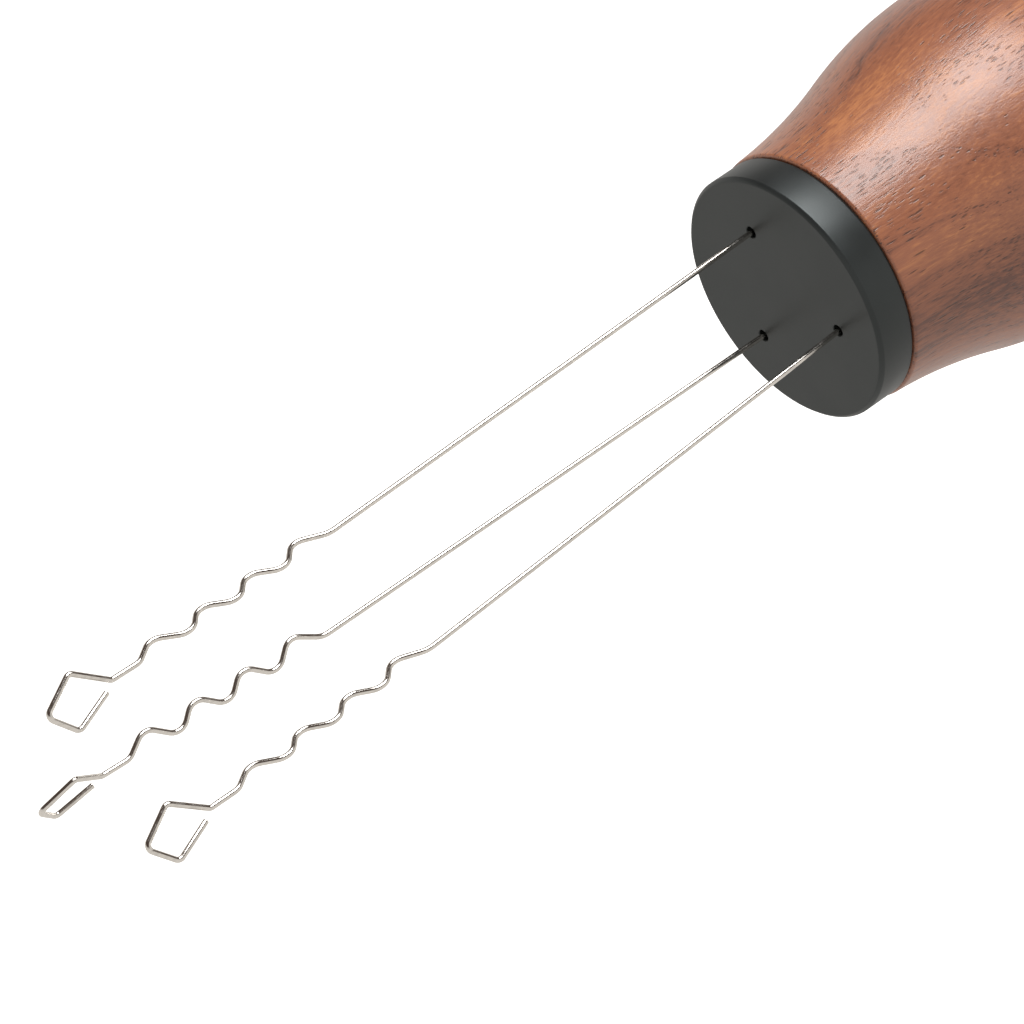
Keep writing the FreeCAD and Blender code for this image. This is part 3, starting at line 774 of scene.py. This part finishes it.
def rounded_path(corners, longest_step):
    """Points along straight runs joined by tangent arcs."""
    points = [corners[0][0]]
    for number in range(1, len(corners) - 1):
        corner, bend = corners[number]
        back = (corners[number - 1][0] - corner).normalized()
        onward = (corners[number + 1][0] - corner).normalized()
        turn = math.pi - back.angle(onward)
        setback = bend * math.tan(turn / 2)
        inwards = (back + onward).normalized()
        centre = corner + inwards * (bend / math.cos(turn / 2))
        spoke = corner + back * setback - centre
        hinge = spoke.cross(corner + onward * setback - centre).normalized()
        run = corner + back * setback - points[-1]
        pieces = max(1, math.ceil(run.length / longest_step))
        last = points[-1].copy()
        points += [last + run * (step + 1) / pieces for step in range(pieces)]
        steps = max(3, math.ceil(math.degrees(turn) / 8.0))
        for step in range(1, steps + 1):
            points.append(centre + Quaternion(hinge, turn * step / steps) @ spoke)
    points.append(corners[-1][0])
    return points


class NEEDLETOOL_OT_needles(Operator):
    """Bend the wire needles"""
    bl_idname = "needletool.needles"
    bl_label = "Wire Needles"

    def execute(self, context):
        needle = context.scene.needle_settings
        steel = wire_material(needle)
        for number, (joint, leans) in enumerate(zip(NEEDLE_JOINTS, NEEDLE_LEANS), start=1):
            name = "wire_needle_%d" % number
            path = rounded_path(needle_corners(needle, joint, leans), needle.longest_step)
            wire = sweep_tube(name, path, needle.wire_radius, needle.sides,
                              needle.wire_radius * needle.end_round)
            piece = new_piece(name, wire, steel)
            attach(piece, joint["child"])
            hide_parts("needle_%d" % number)
        return {"FINISHED"}


# ================================================================ inner fittings

BRASS = (0.72, 0.50, 0.21)
BRASS_RINGS = 0.4 * MM                # between two rings left by the cutting tool
ZINC = (0.62, 0.63, 0.65)
ZINC_RINGS = 0.5 * MM


class NEEDLETOOL_OT_fittings(Operator):
    """Give the inner fittings their metals"""
    bl_idname = "needletool.fittings"
    bl_label = "Inner Fittings"

    def execute(self, context):
        brass = turned_metal_material("turned_brass", BRASS, 0.24, 0.36, BRASS_RINGS)
        zinc = turned_metal_material("zinc_plated_steel", ZINC, 0.30, 0.45, ZINC_RINGS)
        metals = {
            "threaded_insert": brass,
            "head_stud": zinc,
            "retaining_plate": zinc,
            "plate_screws": zinc,
            "collar_1": brass,
            "collar_2": brass,
            "collar_3": brass,
        }
        for name, metal in metals.items():
            fitting = frame["nodes"][name]
            fitting.data.materials.clear()
            fitting.data.materials.append(metal)
        return {"FINISHED"}


# ================================================================ stage

def direction_to(azimuth, elevation):
    """Unit vector at an azimuth from the front and an elevation above the floor."""
    return Vector((math.sin(azimuth) * math.cos(elevation),
                   -math.cos(azimuth) * math.cos(elevation), math.sin(elevation)))


def camera_turn(stage):
    """Direction from the target back to the camera, and the camera's rotation."""
    back = direction_to(stage.camera_azimuth, stage.camera_elevation)
    level = back.to_track_quat("Z", "Y")
    return back, level @ Quaternion((0, 0, 1), stage.camera_roll)


def aimed_light(name, place, target, size, power):
    """A square softbox that the camera doesn't see."""
    data = bpy.data.lights.new(name, "AREA")
    data.shape = "SQUARE"
    data.size = size
    data.energy = power
    lamp = bpy.data.objects.new(name, data)
    bpy.context.scene.collection.objects.link(lamp)
    lamp.location = place
    lamp.rotation_mode = "QUATERNION"
    lamp.rotation_quaternion = (place - target).to_track_quat("Z", "Y")
    lamp.visible_camera = False
    return lamp


def light_room(stage):
    """World: bright walls away from the softbox, a dim room round it, white to the eye."""
    world = bpy.data.worlds.new("studio")
    bpy.context.scene.world = world
    world.use_nodes = True
    nodes = world.node_tree.nodes
    links = world.node_tree.links
    nodes.clear()
    direction = nodes.new("ShaderNodeTexCoord")
    facing = nodes.new("ShaderNodeVectorMath")
    facing.operation = "DOT_PRODUCT"
    facing.inputs[1].default_value = direction_to(stage.dark_azimuth, stage.dark_elevation)
    ramp = nodes.new("ShaderNodeMapRange")
    ramp.interpolation_type = "SMOOTHSTEP"
    ramp.inputs["From Min"].default_value = stage.dark_start
    ramp.inputs["From Max"].default_value = stage.dark_full
    sides = nodes.new("ShaderNodeMix")
    sides.data_type = "RGBA"
    sides.inputs[6].default_value = opaque(stage.bright_side)
    sides.inputs[7].default_value = opaque(stage.dark_side)
    lighting = nodes.new("ShaderNodeBackground")
    seen = nodes.new("ShaderNodeBackground")
    seen.inputs["Color"].default_value = (1.0, 1.0, 1.0, 1.0)
    path = nodes.new("ShaderNodeLightPath")
    choose = nodes.new("ShaderNodeMixShader")
    output = nodes.new("ShaderNodeOutputWorld")
    links.new(direction.outputs["Generated"], facing.inputs[0])
    links.new(facing.outputs["Value"], ramp.inputs[0])
    links.new(ramp.outputs[0], sides.inputs[0])
    links.new(sides.outputs[2], lighting.inputs["Color"])
    links.new(path.outputs["Is Camera Ray"], choose.inputs[0])
    links.new(lighting.outputs[0], choose.inputs[1])
    links.new(seen.outputs[0], choose.inputs[2])
    links.new(choose.outputs[0], output.inputs[0])


class NEEDLETOOL_OT_stage(Operator):
    """Lay the floor and set the light and the camera"""
    bl_idname = "needletool.stage"
    bl_label = "Stage"

    def execute(self, context):
        stage = context.scene.stage_settings
        work = bmesh.new()
        bmesh.ops.create_grid(work, x_segments=4, y_segments=4, size=stage.floor_size / 2)
        floor = new_piece("floor", finish_mesh("floor", work), floor_material())
        floor.location.z = HANDLE_LOW.z
        floor.visible_glossy = False
        floor.visible_diffuse = False
        floor.visible_shadow = False

        light_room(stage)
        neck = Vector((0, 0, HANDLE_HIGH.z))
        key_side = direction_to(stage.key_azimuth, stage.key_elevation)
        aimed_light("key_softbox", neck + key_side * stage.key_distance, neck,
                    stage.key_size, stage.key_power)

        back, turn = camera_turn(stage)
        data = bpy.data.cameras.new("camera")
        data.lens = stage.lens
        data.sensor_width = 36.0
        data.clip_start = 0.01
        data.clip_end = 50.0
        camera = bpy.data.objects.new("camera", data)
        context.scene.collection.objects.link(camera)
        camera.rotation_mode = "QUATERNION"
        camera.location = Vector(stage.camera_target) + back * stage.camera_distance
        camera.rotation_quaternion = turn
        context.scene.camera = camera
        context.scene.view_settings.view_transform = "Standard"
        return {"FINISHED"}


# ================================================================ panel and registration

class NEEDLETOOL_PT_build(Panel):
    """Buttons for each piece and for the stage"""
    bl_idname = "NEEDLETOOL_PT_build"
    bl_label = "Needle Tool"
    bl_space_type = "VIEW_3D"
    bl_region_type = "UI"
    bl_category = "Needle Tool"

    def draw(self, context):
        layout = self.layout
        for operator in BUILD_STEPS:
            layout.operator(operator.bl_idname)
        for settings in SETTINGS:
            box = layout.box()
            box.label(text=settings.__doc__)
            group = getattr(context.scene, SETTINGS[settings])
            for name in settings.__annotations__:
                box.prop(group, name)


SETTINGS = {
    GripSettings: "grip_settings",
    HeadSettings: "head_settings",
    NeedleSettings: "needle_settings",
    StageSettings: "stage_settings",
}
BUILD_STEPS = [NEEDLETOOL_OT_grip, NEEDLETOOL_OT_head, NEEDLETOOL_OT_needles,
               NEEDLETOOL_OT_fittings, NEEDLETOOL_OT_stage]


def register():
    for item in [*SETTINGS, *BUILD_STEPS, NEEDLETOOL_PT_build]:
        bpy.utils.register_class(item)
    for settings, name in SETTINGS.items():
        setattr(bpy.types.Scene, name, PointerProperty(type=settings))


def unregister():
    for name in SETTINGS.values():
        delattr(bpy.types.Scene, name)
    for item in reversed([*SETTINGS, *BUILD_STEPS, NEEDLETOOL_PT_build]):
        bpy.utils.unregister_class(item)


def main():
    register()
    bpy.ops.needletool.grip()
    bpy.ops.needletool.head()
    bpy.ops.needletool.needles()
    bpy.ops.needletool.fittings()
    bpy.ops.needletool.stage()


if __name__ == "__main__":
    main()
